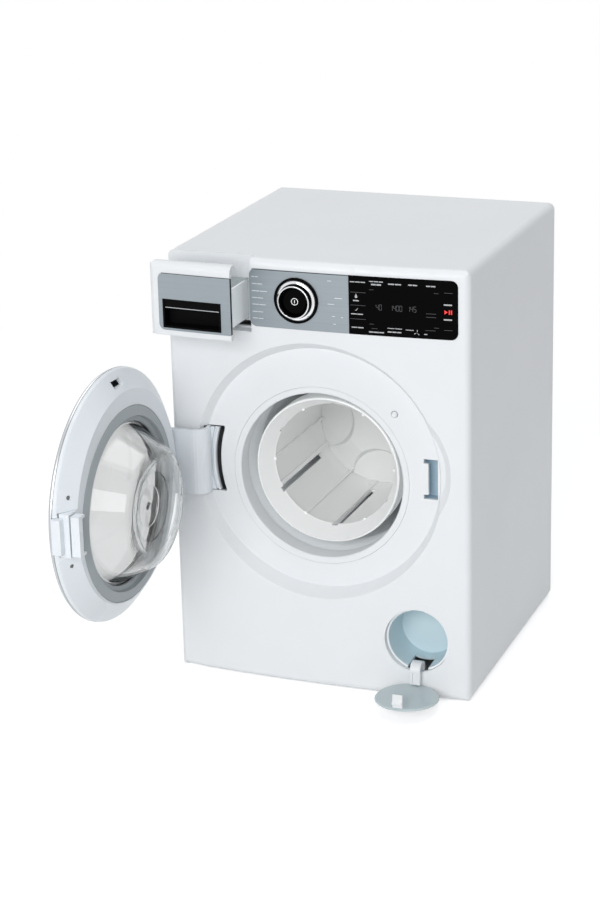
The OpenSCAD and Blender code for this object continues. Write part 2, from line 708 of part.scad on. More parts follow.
module drum_front_ring() {
  r_out = drum_ring_r;
  y_in = drum_y0 + funnel_len;
  color("white") difference() {
    union() {
      outward(0, 0, mouth_z) rotate_extrude($fn = fn_big) polygon([
        [drum_r + drum_wall + 0.1, -y_in - 1.5], [r_out, -y_in - 1.5], [r_out, -drum_y0 - 1.2], [r_out - 0.3, -drum_y0 - 0.4],
        [r_out - 1.2, -drum_y0], [bead_r + 0.5, -y_in + 2], [bead_r, -y_in + 1.2], [bead_r, -y_in + 0.7],
        [bead_r + 0.5, -y_in + 0.1], [drum_r + drum_wall + 0.1, -y_in + 0.1]]);
      // Tabs on the bead, in line with the seam ribs.
      for (k = [0 : drum_slots - 1])
        translate([0, 0, mouth_z]) rotate([0, -360 / drum_slots * k, 0])
          box([bead_r - 0.7, y_in - 2, -0.8], [bead_r + 0.8, y_in - 0.3, 0.8]);
    }
    for (k = [0 : drum_slots - 1])
      translate([0, 0, mouth_z]) rotate([0, -360 / drum_slots * (k + 0.5), 0])
        box([bead_r - 2, y_in - 2.6, -slot_w / 2], [bead_r + 1.6, y_in + 2, slot_w / 2]);
  }
}

// The drum's back: a raised cross between four dishes.
module drum_back() {
  hub = 4;
  color("whitesmoke") difference() {
    outward(0, 0, mouth_z) rotate_extrude($fn = fn_big) polygon([
      [0, -drum_y1 - 8], [9, -drum_y1 - 8], [9, -drum_y1], [drum_r - seat_gap, -drum_y1],
      [drum_r - seat_gap, -drum_y1 + back_t], [drum_r * 0.9, -drum_y1 + back_t], [drum_r * 0.55, -drum_y1 + back_t + hub],
      [0, -drum_y1 + back_t + hub]]);
    for (k = [0 : 3])
      translate([0, 0, mouth_z]) rotate([0, 90 * k, 0]) translate([drum_r - 2.6, drum_y1 - back_t + 0.7, 0])
        rotate([90, 0, 0]) cylinder(h = 8, r1 = 18.5, r2 = 23, $fn = fn_mid);
    front_disc(0, mouth_z, drum_y1 + 9, 13 + seat_gap, shaft_r + 0.02, fn = fn_mid);
  }
}

module drum_gear() {
  color("ivory") translate([0, gear_y + gear_w, mouth_z]) rotate([90, 0, 0]) difference() {
    union() {
      linear_extrude(gear_w) rotate(-90) difference() {
        gear_outline(gear_teeth, 0.12);
        circle(gear_r - 5, $fn = fn_mid);
      }
      translate([0, 0, 2.5]) cylinder(h = 3, r = gear_r - 4.5, $fn = fn_mid);
      cylinder(h = gear_w, r = shaft_r + 3, $fn = fn_mid);
    }
    translate([0, 0, -1]) cylinder(h = gear_w + 2, r = shaft_r + 0.02, $fn = fn_mid);
    for (a = [0 : 60 : 300]) rotate(a) translate([gear_r * 0.55, 0, -1]) cylinder(h = gear_w + 2, r = 4.5, $fn = fn_small);
  }
}

module motor_pinion() {
  color("ivory") translate([0, gear_y + gear_w - 0.5, motor_z]) rotate([90, 0, 0]) difference() {
    union() {
      linear_extrude(gear_w - 1) rotate(90 + 180 / pinion_teeth) gear_outline(pinion_teeth, 0.12);
    }
    translate([0, 0, -1]) cylinder(h = gear_w + 2, r = 1.5, $fn = fn_small);
  }
  color("silver") translate([0, gear_y, motor_z]) rotate([-90, 0, 0]) cylinder(h = gear_w + 10, r = 1.48, $fn = fn_small);
}

// Plate behind the gears; it carries the motor on four posts from the tub's back.
module motor_plate() {
  z0 = motor_z - 18;
  z1 = mouth_z + 12;
  color("gainsboro") difference() {
    union() {
      box([-20, plate_y, z0], [20, plate_y + 2.4, z1]);
      box([-44, plate_y, mouth_z - 9], [44, plate_y + 2.4, mouth_z + 9]);
      for (s = [-1, 1]) front_disc(s * 40, mouth_z, plate_y + 1, plate_y + 1 - tub_y1 - tub_back - seat_gap - 2.4, 4, fn = fn_small);
      translate([0, plate_y + 2.3, motor_z]) rotate([-90, 0, 0]) cylinder(h = 6, r = motor_r + 2, $fn = fn_mid);
    }
    front_disc(0, mouth_z, plate_y + 4, 8, shaft_r + 4, fn = fn_mid);
    front_disc(0, motor_z, plate_y + 12, 20, 3.4, fn = fn_mid);
    translate([0, plate_y + 2.4, motor_z]) rotate([-90, 0, 0]) cylinder(h = 8, r = motor_r + seat_gap, $fn = fn_mid);
  }
}

module motor() {
  color("silver") translate([0, plate_y + 2.4 + seat_gap, motor_z]) rotate([-90, 0, 0]) difference() {
    union() {
      cylinder(h = motor_len, r = motor_r, $fn = fn_mid);
      translate([0, 0, motor_len - eps]) cylinder(h = 2.5, r = 4, $fn = fn_mid);
    }
    translate([0, 0, -1]) cylinder(h = 9, r = 1.48 + pin_gap, $fn = fn_small);
  }
}

module latch_strike() {
  t = 1.4;
  deep = 7;
  color("lightsteelblue") difference() {
    box([latch_x0 - t, strip_back + seat_gap, latch_z0 - t], [latch_x1 + t, strip_back + deep, latch_z0 + latch_h + t]);
    box([latch_x0, strip_back, latch_z0], [latch_x1, strip_back + deep - t, latch_z0 + latch_h]);
  }
}

module switch_block() {
  color("black") difference() {
    front_disc(switch_x, switch_z, strip_back + 9, 9 - seat_gap, 4, fn = fn_small);
    front_disc(switch_x, switch_z, strip_back + 6, 8, switch_r + 0.08, fn = fn_small);
  }
}

module switch_pin() {
  color("white") outward(switch_x, floor_y - switch_out, switch_z) {
    translate([0, 0, -switch_out - wall - 3.4]) cylinder(h = switch_out + wall + 2.6, r = switch_r, $fn = fn_small);
    translate([0, 0, -0.8]) cylinder(h = 0.8, r1 = switch_r, r2 = switch_r - 0.6, $fn = fn_small);
  }
}

// ---------------------------------------------------------------- door hinge

module hinge_bracket() {
  ear = 3;
  gap = 0.3;
  color("gainsboro") difference() {
    union() {
      for (z = [arm_z0 - gap - ear, arm_z0 + arm_h + gap])
        translate([0, 0, z]) linear_extrude(ear) {
          translate([hinge_x, hinge_y]) circle(knuckle_r + 0.4, $fn = fn_small);
          translate([hinge_x - 6.2, bracket_y]) square([6.2, hinge_y + knuckle_r - bracket_y]);
          translate([hinge_x - 6.2, bracket_y]) square([9, hinge_y - bracket_y]);
        }
      box([hinge_x - 6.2, bracket_y, arm_z0 - gap - ear], [hinge_x - 4, hinge_y + knuckle_r, arm_z0 + arm_h + gap + ear]);
    }
    translate([hinge_x, hinge_y, 0]) cylinder(h = body_h, r = hinge_pin_r + 0.01, $fn = fn_small);
  }
}
bracket_y = front_at(hinge_x - 6.2, wall) + fit_gap;

module hinge_pin() {
  color("silver") translate([hinge_x, hinge_y, arm_z0 - 4.5]) cylinder(h = arm_h + 9, r = hinge_pin_r, $fn = fn_small);
}

// Gooseneck path of the arm, from the knuckle round behind the front and out to the door.
neck_r = 7.6;
arm_end = 2 * neck_r - 0.6;        // how far the arm's outer end lies from the pin
arm_path = concat([[0, 0]], arc([arm_end - neck_r, 3.4], neck_r, 180, 0, 14),
  [[arm_end, floor_y - hinge_y - foot_w - foot_t / 2]]);

module hinge_arm() {
  color("white") door_pose() difference() {
    translate([hinge_x, hinge_y, arm_z0]) linear_extrude(arm_h) {
      strip(arm_path, arm_t);
      circle(knuckle_r, $fn = fn_small);
      // Foot inside the door.
      translate([arm_end - arm_t / 2, floor_y - hinge_y - foot_w - foot_t]) square([9, foot_t]);
    }
    translate([hinge_x, hinge_y, 0]) cylinder(h = body_h, r = hinge_pin_r + pin_gap, $fn = fn_small);
  }
}

// ---------------------------------------------------------------- door

module door_frame() {
  color("white") door_pose() difference() {
    on_door([[40, frame_back], [door_r - 11.2, frame_back], [door_r - 2.4, frame_back + 6.2], [door_r - 0.6, frame_back + 7.6],
      [door_r, rim_w - 0.2], [door_r, rim_w + 0.9], [door_r - 2, rim_w + 0.9], [door_r - 3.8, frame_back + 8.2],
      [door_r - 11.8, frame_back + frame_t], [40, frame_back + frame_t]]);
    front_disc(0, mouth_z, floor_y + 2, 10, window_ring_r + 0.15, fn = fn_big);
    // Slot for the arm, window for the latch, pocket over the switch pin, screw holes.
    box([hinge_x + arm_end - arm_t / 2 - seat_gap, floor_y - 12, arm_z0 - seat_gap],
      [hinge_x + arm_end + arm_t / 2 + seat_gap, floor_y + 1, arm_z0 + arm_h + seat_gap]);
    box([latch_x0 - 2.6, floor_y - 12, latch_z0 - 0.6], [latch_x1 - 0.9, floor_y + 1, latch_z0 + latch_h + 0.6]);
    front_disc(switch_x, switch_z, floor_y + 1, 1 + switch_out + 0.3, switch_r + 1.2, fn = fn_small);
    // Small window at the top, and the notch for the finger tab.
    box([frame_window_x - frame_window_w / 2, floor_y - 14, frame_window_z - frame_window_h / 2],
      [frame_window_x + frame_window_w / 2, floor_y + 1, frame_window_z + frame_window_h / 2]);
    box([latch_x1 - 2.1, floor_y - 14, latch_tab_z - latch_tab / 2 - seat_gap], [door_r + 3, floor_y + 1, latch_tab_z + latch_tab / 2 + seat_gap]);
    for (a = door_screw_angles) rotate_about_door(a) front_disc(door_screw_r, door_z, floor_y + 1, 14, 1.2, fn = 24);
  }
}
door_screw_angles = [-17, 17.5];
door_screw_r = door_r - 6.4;
frame_window_x = 0.8;
frame_window_z = door_z + door_r - 6.3;
frame_window_w = 10.5;
frame_window_h = 4;
latch_tab_z = latch_z0 + latch_h / 2;
module rotate_about_door(a) {
  translate([0, 0, door_z]) rotate([0, -a, 0]) translate([0, 0, -door_z]) children();
}

module door_screws() {
  color("silver") door_pose()
    for (a = door_screw_angles) rotate_about_door(a)
      outward(door_screw_r, floor_y - frame_back - 3.4, door_z) cylinder(h = 6, r = 1.1, $fn = 24);
}

module door_trim_ring() {
  color("silver") door_pose() difference() {
    on_door([[40, trim_w], [door_r, trim_w], [door_r + 0.2, trim_w + 0.6], [door_r - 0.5, trim_w + 2],
      [door_r - 3, trim_w + 3.4], [door_r - 8, trim_w + 4.2], [40, face_w]]);
    outward(0, floor_y - trim_w + 1, mouth_z) cylinder(h = 8, r = bezel_r - 1, $fn = fn_big);
  }
}

module door_bezel() {
  color("black") door_pose() on_window([
    [bowl_r + 0.4, frame_back + ring_seat + 2], [bowl_r + bowl_flange + 0.6, frame_back + ring_seat + 2],
    [bowl_r + bowl_flange + 0.6, trim_w], [bezel_r - 1.2, trim_w], [bezel_r - 1.2, face_w - 0.3], [bezel_r - 3, face_w + 0.3],
    [bezel_r - 6, face_w - 0.2], [pane_r + seat_gap, trim_w + 1], [pane_r + seat_gap, pane_w - seat_gap],
    [bowl_r + 0.4, pane_w - seat_gap]]);
}
pane_w = trim_w - 1.3;             // height of the pane's inner face above the recess floor

// Flat tinted pane in the front of the door.
module door_pane() {
  color("lightgray", 0.5) door_pose()
    outward(0, floor_y - pane_w, mouth_z) cylinder(h = pane_t, r = pane_r, $fn = fn_big);
}

module window_ring() {
  color("gray") door_pose() on_window([
    [bowl_r + 1.8, frame_back + 1.6], [window_in_r - 0.5, frame_back + 1.3], [window_in_r, frame_back - 1.1],
    [window_ring_r - 0.4, frame_back - 0.1], [window_ring_r, frame_back + 0.3], [window_ring_r, frame_back + ring_seat],
    [bowl_r + 1.8, frame_back + ring_seat]]);
}

// The bowl's skin: a tapered side, a round crest and a dished middle.
function bowl_skin(in) = concat(
  [[0, -bowl_depth + bowl_dish + in], [12, -bowl_depth + bowl_dish - 0.9 + in], [20, -bowl_depth + bowl_dish - 3 + in]],
  arc([bowl_crest, -bowl_depth + bowl_round], bowl_round - in, -125, -28, 12));

module window_bowl() {
  w0 = frame_back + ring_seat + 0.1;
  outer = bowl_skin(0);
  inner = bowl_skin(bowl_wall);
  color("aliceblue", 0.4) door_pose() on_window(concat(outer,
    [[bowl_r, w0], [bowl_r + bowl_flange, w0], [bowl_r + bowl_flange, w0 + 1.8], [bowl_r - bowl_wall, w0 + 1.8]],
    [for (i = [len(inner) - 1 : -1 : 0]) inner[i]]));
}

module door_latch() {
  color("white") door_pose() {
    difference() {
      box([latch_x0 - 2.5, floor_y - 8, latch_z0 - 0.5], [latch_x1 - 1, floor_y - frame_back - 0.2, latch_z0 + latch_h + 0.5]);
      for (x = [latch_x0 + 1, latch_x0 + 4])
        box([x - 0.5, floor_y - frame_back - 1.4, latch_z0 + 3.4], [x + 0.5, floor_y, latch_z0 + latch_h - 3.4]);
    }
    // Finger tab that reaches past the rim into the scoop.
    box([latch_x1 - 2, floor_y - rim_w - 0.5, latch_tab_z - latch_tab / 2], [door_r + 1.6, floor_y - rim_w + 5, latch_tab_z + latch_tab / 2]);
    outward(0, floor_y + wall + 2, 0) linear_extrude(wall + 3) intersection() {
      latch_outline(-0.5);
      translate([0, 0]) square([latch_x1 - 1.2, body_h]);
    }
  }
}

// ---------------------------------------------------------------- detergent drawer

module drawer_front() {
  color("white") drawer_pose() difference() {
    intersection() {
      difference() {
        cabinet_form(0);
        cabinet_form(drawer_skin);
      }
      box([-body_w, front_y - 5, notch_z + drawer_gap], [drawer_x1, notch_y - 0.4, body_h + 1]);
    }
    bowed_sheet(1, 0.9) round_rect(trim_x0 - 0.05, panel_z0 - 0.05, drawer_x1 + 8, panel_z1 - 0.7 + 0.05, 3.6);
    box([grip_x0 - seat_gap, front_y - 5, grip_z0 - seat_gap], [grip_x1 + seat_gap, notch_y, grip_z1 + seat_gap]);
  }
}

module drawer_trim() {
  color("silver") drawer_pose() difference() {
    bowed_sheet(panel_proud, 0.85) difference() {
      round_rect(trim_x0, panel_z0, drawer_x1 + 8, panel_z1 - 0.7, 3.6);
      translate([drawer_x1, 0]) square([20, body_h]);
    }
    box([grip_x0, front_y - 5, grip_z0], [grip_x1, notch_y, grip_z1]);
  }
}

module drawer_grip() {
  y0 = front_at(grip_x0);
  color("black") drawer_pose() {
    intersection() {
      difference() {
        box([grip_x0 + 0.05, front_y - 2, grip_z0 + 0.05], [grip_x1 - 0.05, y0 + grip_depth, grip_z1 - 0.05]);
        box([grip_x0 + grip_wall, front_y - 4, grip_z0 + grip_wall], [grip_x1 - grip_wall, y0 + grip_depth - grip_wall, grip_z1 - grip_wall]);
      }
      translate([0, bow_axis_y, 0]) cylinder(h = body_h, r = bow_r + panel_proud + 0.1, $fn = 2000);
    }
    // Bar across the top of the grip.
    intersection() {
      box([grip_x0 + grip_wall, front_y, grip_z1 - 5.2], [grip_x1 - grip_wall, y0 + 2.6, grip_z1 - grip_wall]);
      translate([0, bow_axis_y, 0]) cylinder(h = body_h, r = bow_r - 0.3, $fn = 2000);
    }
  }
}

module detergent_tray() {
  y1 = tray_y0 + tray_len;
  front_in = notch_y - 2.9;
  mid = tray_x0 + (tray_x1 - tray_x0) * 0.45;
  color("whitesmoke") drawer_pose() {
    difference() {
      box([tray_x0, tray_y0, tray_z0], [tray_x1, y1, tray_z0 + tray_h]);
      for (c = [[tray_x0 + tray_wall, mid - tray_wall / 2], [mid + tray_wall / 2, tray_x1 - tray_wall]])
        box([c[0], tray_y0 + tray_wall, tray_z0 + tray_wall], [c[1], y1 - tray_wall, tray_z0 + tray_h + 1]);
      // Outlet at the back of the floor.
      for (x = [mid - 9, mid + 9]) translate([x, y1 - 8, tray_z0 - 1]) cylinder(h = 4, r = 2.2, $fn = fn_small);
    }
    // Cheeks that reach forward to the drawer's front.
    box([tray_x1 - tray_wall, front_at(tray_x1, drawer_skin) + seat_gap, tray_z0], [tray_x1, tray_y0 + eps, tray_z0 + tray_h]);
    box([tray_x0, front_at(tray_x0, drawer_skin) + 0.6, tray_z0], [tray_x0 + tray_wall, tray_y0 + eps, tray_z0 + tray_h]);
  }
}

module drawer_housing() {
  t = 1.4;
  y0 = notch_y + wall + seat_gap;
  y1 = tray_y0 + tray_len + 6;
  color("gainsboro") difference() {
    box([tray_x0 - fit_gap - t, y0, tray_z0 - fit_gap - t], [tray_x1 + fit_gap + t, y1, drawer_slot_z1 + t]);
    box([tray_x0 - fit_gap, y0 - 1, tray_z0 - fit_gap], [tray_x1 + fit_gap, y1 - t, drawer_slot_z1]);
  }
}

// ---------------------------------------------------------------- filter

module filter_cup() {
  len = filter_depth;
  color("lightblue") difference() {
    outward(filter_x, 0, filter_z) rotate_extrude($fn = fn_mid) polygon([
      [filter_r - seat_gap, -cup_y0], [filter_r - seat_gap, -cup_y0 - 2], [cup_end_r + cup_wall, -cup_y0 - len],
      [0, -cup_y0 - len], [0, -cup_y0 - len + cup_wall + 0.4], [cup_end_r, -cup_y0 - len + cup_wall + 0.4],
      [filter_r - seat_gap - cup_wall, -cup_y0 - 1], [filter_r - seat_gap - cup_wall, -cup_y0]]);
    // Gate for the flap's arm below and for its catch above.
    box([filter_x - flap_arm_w / 2 - gate_margin, cup_y0 - 1, filter_z - filter_r - 1],
      [filter_x + flap_arm_w / 2 + gate_margin, cup_y0 + 15, filter_z - filter_r + 6.5]);
    box([filter_x - catch_w / 2 - 1.1, cup_y0 - 1, filter_z + filter_r - 5], [filter_x + catch_w / 2 + 1.1, cup_y0 + catch_len + 1.5, filter_z + filter_r + 1]);
  }
}

module flap_disc() {
  color("white") flap_pose() {
    outward(filter_x, flap_y, filter_z) {
      cylinder(h = 1, r1 = flap_r - 1, r2 = flap_r, $fn = fn_mid);
      translate([0, 0, 1 - eps]) cylinder(h = flap_t - 1.4, r = flap_r, $fn = fn_mid);
      translate([0, 0, flap_t - 0.4 - 2 * eps]) cylinder(h = 0.4, r1 = flap_r, r2 = flap_r - 0.4, $fn = fn_mid);
    }
    // Catch that snaps behind the upper edge of the hole.
    box([filter_x - catch_w / 2, flap_y - eps, filter_z + flap_r - 3.4], [filter_x + catch_w / 2, flap_y + catch_len, filter_z + flap_r - 1.6]);
    translate([filter_x - catch_w / 2, flap_y + 2.4, filter_z + flap_r - 1.7]) rotate([90, 0, 90])
      linear_extrude(catch_w) polygon([[0, 0], [2.6, 0], [0.6, 1.5], [0, 1.5]]);
  }
}

// Gooseneck path of the flap's arm in the closed position, from the pivot: [y, z].
flap_neck_r = 4.4;
flap_rise = 2 * flap_neck_r - 0.8;
flap_path = concat([[0, 0]], arc([5.4, flap_rise - flap_neck_r], flap_neck_r, -90, 90, 12), [[flap_y - pivot_y + 0.9, flap_rise]]);

module flap_arm() {
  groove = 3;
  color("white") flap_pose() translate([filter_x - flap_arm_w / 2, pivot_y, pivot_z]) rotate([90, 0, 90]) difference() {
    linear_extrude(flap_arm_w) {
      strip(flap_path, 1.8);
      circle(flap_knuckle_r, $fn = fn_small);
    }
    // Groove that leaves two ribs on the side that shows when the flap is open.
    translate([0, 0, (flap_arm_w - groove) / 2]) linear_extrude(groove)
      translate([-2, flap_rise + 0.2]) square([7, 2]);
    translate([0, 0, -1]) cylinder(h = flap_arm_w + 2, r = flap_pin_r + pin_gap, $fn = fn_small);
  }
}

module flap_bracket() {
  gap = 0.3;
  ear = 2;
  y0 = front_at(filter_x + flap_arm_w, wall) + fit_gap;
  color("gainsboro") difference() {
    union() {
      for (x = [filter_x - flap_arm_w / 2 - gap - ear, filter_x + flap_arm_w / 2 + gap])
        box([x, y0, pivot_z - 3], [x + ear, pivot_y + 2.4, pivot_z + 2.4]);
      box([filter_x - flap_arm_w / 2 - gap - ear, y0, pivot_z - 5], [filter_x + flap_arm_w / 2 + gap + ear, pivot_y + 2.4, pivot_z - 2.6]);
    }
    translate([0, pivot_y, pivot_z]) rotate([0, 90, 0]) cylinder(h = body_w, r = flap_pin_r + 0.01, $fn = fn_small);
  }
}

module flap_pin() {
  len = flap_arm_w + 6;
  color("silver") translate([filter_x - len / 2, pivot_y, pivot_z]) rotate([0, 90, 0]) cylinder(h = len, r = flap_pin_r, $fn = fn_small);
}

// ---------------------------------------------------------------- batteries

module battery_box() {
  t = 1.6;
  x0 = batt_x - batt_w / 2;
  x1 = batt_x + batt_w / 2;
  z0 = batt_z - batt_h / 2;
  z1 = batt_z + batt_h / 2;
  y1 = rear_out - rear_t - seat_gap;
  color("dimgray") difference() {
    box([x0 - t, y1 - batt_d, z0 - t], [x1 + t, y1, z1 + t]);
    box([x0, y1 - batt_d + t, z0], [x1, y1 + 1, z1]);
  }
}

module batteries() {
  y = rear_out - rear_t - seat_gap - batt_d + 1.6 + cell_r + 0.4;
  color("slategray") for (i = [0 : cells - 1])
    translate([batt_x + (i - (cells - 1) / 2) * cell_pitch, y, batt_z - cell_len / 2]) {
      cylinder(h = cell_len - 1, r = cell_r, $fn = fn_small);
      cylinder(h = cell_len, r = 2.6, $fn = fn_small);
    }
}

module battery_contacts() {
  y = rear_out - rear_t - seat_gap - batt_d + 1.6 + cell_r + 0.4;
  color("silver") for (i = [0 : cells - 1], s = [-1, 1])
    translate([batt_x + (i - (cells - 1) / 2) * cell_pitch - 4.5, y - 5, s > 0 ? batt_z + cell_len / 2 + 0.3 : batt_z - cell_len / 2 - 3.9])
      cube([9, 10, 3.6]);
}

module battery_cover() {
  g = fit_gap;
  x0 = batt_x - batt_w / 2 + g;
  x1 = batt_x + batt_w / 2 - g;
  z0 = batt_z - batt_h / 2 + g;
  z1 = batt_z + batt_h / 2 - g;
  color("gainsboro") difference() {
    union() {
      box([x0, rear_out - cover_t, z0 + cover_t / 2], [x1, rear_out, z1]);
      // Round lower edge on which the cover tilts.
      translate([x0, rear_out - cover_t / 2, z0 + cover_t / 2]) rotate([0, 90, 0]) cylinder(h = x1 - x0, r = cover_t / 2, $fn = fn_small);
    }
    // Thumb groove and the captive screw's recess.
    translate([batt_x, rear_out + 0.2, z1 - 6]) rotate([90, 0, 0]) cylinder(h = 1, r = 3.2, $fn = fn_small);
    for (i = [0 : 3]) box([batt_x - 14, rear_out - 0.6, z0 + 6 + 3 * i], [batt_x + 14, rear_out + 1, z0 + 7.2 + 3 * i]);
  }
}

front_panel();
cabinet_shell();
base_plate();
feet();
rear_cover();
cabinet_screws();
fascia_plate();
display_window();
knob_bezel();
control_board();
button_guide();
speaker();
opening_ring();
tub();
tub_cradle();
drum_bearing();
motor_plate();
motor();
latch_strike();
switch_block();
hinge_bracket();
hinge_pin();
flap_bracket();
flap_pin();
filter_cup();
drawer_housing();
battery_box();
batteries();
battery_contacts();
door_frame();
door_trim_ring();
door_bezel();
door_pane();
window_ring();
window_bowl();
door_latch();
hinge_arm();
door_screws();
drawer_front();
drawer_trim();
drawer_grip();
detergent_tray();
drum_shell();
drum_front_ring();
drum_back();
drum_shaft();
drum_gear();
motor_pinion();
knob_body();
knob_ring();
knob_rim();
knob_stem();
power_button();
flap_disc();
flap_arm();
switch_pin();
battery_cover();
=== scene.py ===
"""Looks, camera and light of the toy washing machine. Metres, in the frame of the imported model."""
import json
import math

import bmesh
import bpy
from mathutils import Matrix, Vector


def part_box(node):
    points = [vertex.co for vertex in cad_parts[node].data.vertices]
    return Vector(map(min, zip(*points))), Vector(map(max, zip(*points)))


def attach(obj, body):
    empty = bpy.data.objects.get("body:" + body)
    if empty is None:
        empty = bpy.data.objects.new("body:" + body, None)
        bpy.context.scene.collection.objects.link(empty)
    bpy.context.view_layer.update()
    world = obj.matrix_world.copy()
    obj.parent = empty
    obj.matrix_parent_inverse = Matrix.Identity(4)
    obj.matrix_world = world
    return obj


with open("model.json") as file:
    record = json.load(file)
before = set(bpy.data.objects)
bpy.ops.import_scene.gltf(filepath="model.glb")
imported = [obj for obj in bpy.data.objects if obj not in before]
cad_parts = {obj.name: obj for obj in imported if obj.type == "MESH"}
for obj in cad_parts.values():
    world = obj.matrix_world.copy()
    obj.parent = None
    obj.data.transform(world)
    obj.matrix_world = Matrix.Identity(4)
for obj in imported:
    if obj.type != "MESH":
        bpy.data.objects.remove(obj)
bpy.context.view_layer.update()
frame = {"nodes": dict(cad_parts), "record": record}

NODES = frame["nodes"]
MM = 0.001


# ---------------------------------------------------------------- shader helpers

def connect(tree, node, inputs):
    """Sets a node's inputs, each to a value or to another node's output."""
    for name, value in inputs.items():
        if isinstance(value, bpy.types.NodeSocket):
            tree.links.new(value, node.inputs[name])
        else:
            node.inputs[name].default_value = value


def add_node(tree, kind, inputs, **settings):
    """A new node with its settings and inputs."""
    node = tree.nodes.new(kind)
    for name, value in settings.items():
        setattr(node, name, value)
    connect(tree, node, inputs)
    return node


def emptied_tree(owner):
    """The node tree of a material or a world, without nodes."""
    owner.use_nodes = True
    owner.node_tree.nodes.clear()
    return owner.node_tree


def new_material(name):
    """An empty node material with a Principled shader on its output."""
    mat = bpy.data.materials.new(name)
    tree = emptied_tree(mat)
    shader = tree.nodes.new("ShaderNodeBsdfPrincipled")
    add_node(tree, "ShaderNodeOutputMaterial", {"Surface": shader.outputs["BSDF"]})
    return mat, tree, shader


def object_coords(tree, scale=(1.0, 1.0, 1.0)):
    """Object coordinates through a mapping node."""
    coords = tree.nodes.new("ShaderNodeTexCoord").outputs["Object"]
    return add_node(tree, "ShaderNodeMapping", {"Scale": scale, "Vector": coords}).outputs["Vector"]


def noise(tree, vector, scale, detail=2.0, rough=0.5):
    """A noise texture's value."""
    inputs = {"Vector": vector, "Scale": scale, "Detail": detail, "Roughness": rough}
    return add_node(tree, "ShaderNodeTexNoise", inputs).outputs["Fac"]


def tint(tree, factor, low, high):
    """A colour between low and high, by factor. Each is a colour or a node's output."""
    low, high = (c if isinstance(c, bpy.types.NodeSocket) else (*c, 1.0) for c in (low, high))
    mix = add_node(tree, "ShaderNodeMix", {"Factor": factor, "A": low, "B": high}, data_type="RGBA")
    return mix.outputs["Result"]


def remap(tree, factor, low, high):
    """factor, from 0.3 to 0.7, mapped to low to high."""
    inputs = {"Value": factor, "From Min": 0.3, "From Max": 0.7, "To Min": low, "To Max": high}
    return add_node(tree, "ShaderNodeMapRange", inputs).outputs["Result"]


def edge_normal(tree, radius):
    """A normal that rounds sharp edges."""
    return add_node(tree, "ShaderNodeBevel", {"Radius": radius}, samples=4).outputs["Normal"]


def bump(tree, height, strength, distance, normal=None):
    """A bump node's normal."""
    inputs = {"Height": height, "Strength": strength, "Distance": distance}
    if normal is not None:
        inputs["Normal"] = normal
    return add_node(tree, "ShaderNodeBump", inputs).outputs["Normal"]


def math_node(tree, operation, first, second):
    """The result of a math node."""
    return add_node(tree, "ShaderNodeMath", {0: first, 1: second}, operation=operation).outputs["Value"]


def mixed(tree, factor, first, second):
    """One of two shaders, by factor."""
    return add_node(tree, "ShaderNodeMixShader", {"Fac": factor, 1: first, 2: second}).outputs["Shader"]


def shade(color, factor):
    """color multiplied by factor."""
    return tuple(min(1.0, c * factor) for c in color)


# ---------------------------------------------------------------- materials

MOTTLE = 0.02                       # how much a plastic's colour varies
TOOL_MARK = 0.02 * MM               # depth of the grain of a mould or a brush
METAL_GRAIN = 0.01 * MM
BRUSH_LINES = (3.0, 60.0, 900.0)    # noise per metre along X, Y and Z


def plastic(name, color, rough, grain=0.05, coat=0.0, edge=0.35 * MM, specular=0.5, painted_glow=0.0):
    """Moulded plastic with a faint mottle, a fine grain and soft edges. Its glow is painted light: an even
    emission that brightens the part.
    """
    mat, tree, shader = new_material(name)
    coords = object_coords(tree)
    soft = noise(tree, coords, 28.0, 3.0)
    fine = noise(tree, coords, 2600.0, 2.0, 0.6)
    wide = noise(tree, coords, 9.0, 1.0)
    connect(tree, shader, {
        "Base Color": tint(tree, soft, shade(color, 1.0 - MOTTLE), shade(color, 1.0 + MOTTLE)),
        "Roughness": remap(tree, wide, rough - 0.03, rough + 0.04),
        "Normal": bump(tree, fine, grain, TOOL_MARK, edge_normal(tree, edge)),
        "Coat Weight": coat,
        "Coat Roughness": 0.08,
        "Specular IOR Level": specular,
        "Emission Color": (*color, 1.0),
        "Emission Strength": painted_glow,
    })
    return mat


def two_toned(name, own, other, rough, output, axis, operation, limit, painted_glow=0.0):
    """Moulded plastic with another colour, and a painted glow, where a texture coordinate passes a limit."""
    mat = plastic(name, own, rough)
    tree = mat.node_tree
    shader = next(n for n in tree.nodes if n.type == "BSDF_PRINCIPLED")
    base = shader.inputs["Base Color"].links[0].from_socket
    coords = tree.nodes.new("ShaderNodeTexCoord").outputs[output]
    axes = add_node(tree, "ShaderNodeSeparateXYZ", {"Vector": coords})
    passed = math_node(tree, operation, axes.outputs[axis], limit)
    connect(tree, shader, {
        "Base Color": tint(tree, passed, base, other),
        "Emission Color": (*other, 1.0),
        "Emission Strength": math_node(tree, "MULTIPLY", passed, painted_glow),
    })
    return mat


def brushed(name, color, rough):
    """Silver foil with fine brush lines along X."""
    mat, tree, shader = new_material(name)
    lines = noise(tree, object_coords(tree, BRUSH_LINES), 1.0, 4.0, 0.7)
    wide = noise(tree, object_coords(tree), 14.0, 1.0)
    connect(tree, shader, {
        "Base Color": tint(tree, lines, shade(color, 0.90), shade(color, 1.10)),
        "Roughness": remap(tree, wide, rough - 0.03, rough + 0.03),
        "Normal": bump(tree, lines, 0.16, TOOL_MARK, edge_normal(tree, 0.2 * MM)),
        "Metallic": 0.75,
        "Anisotropic": 0.5,
    })
    return mat


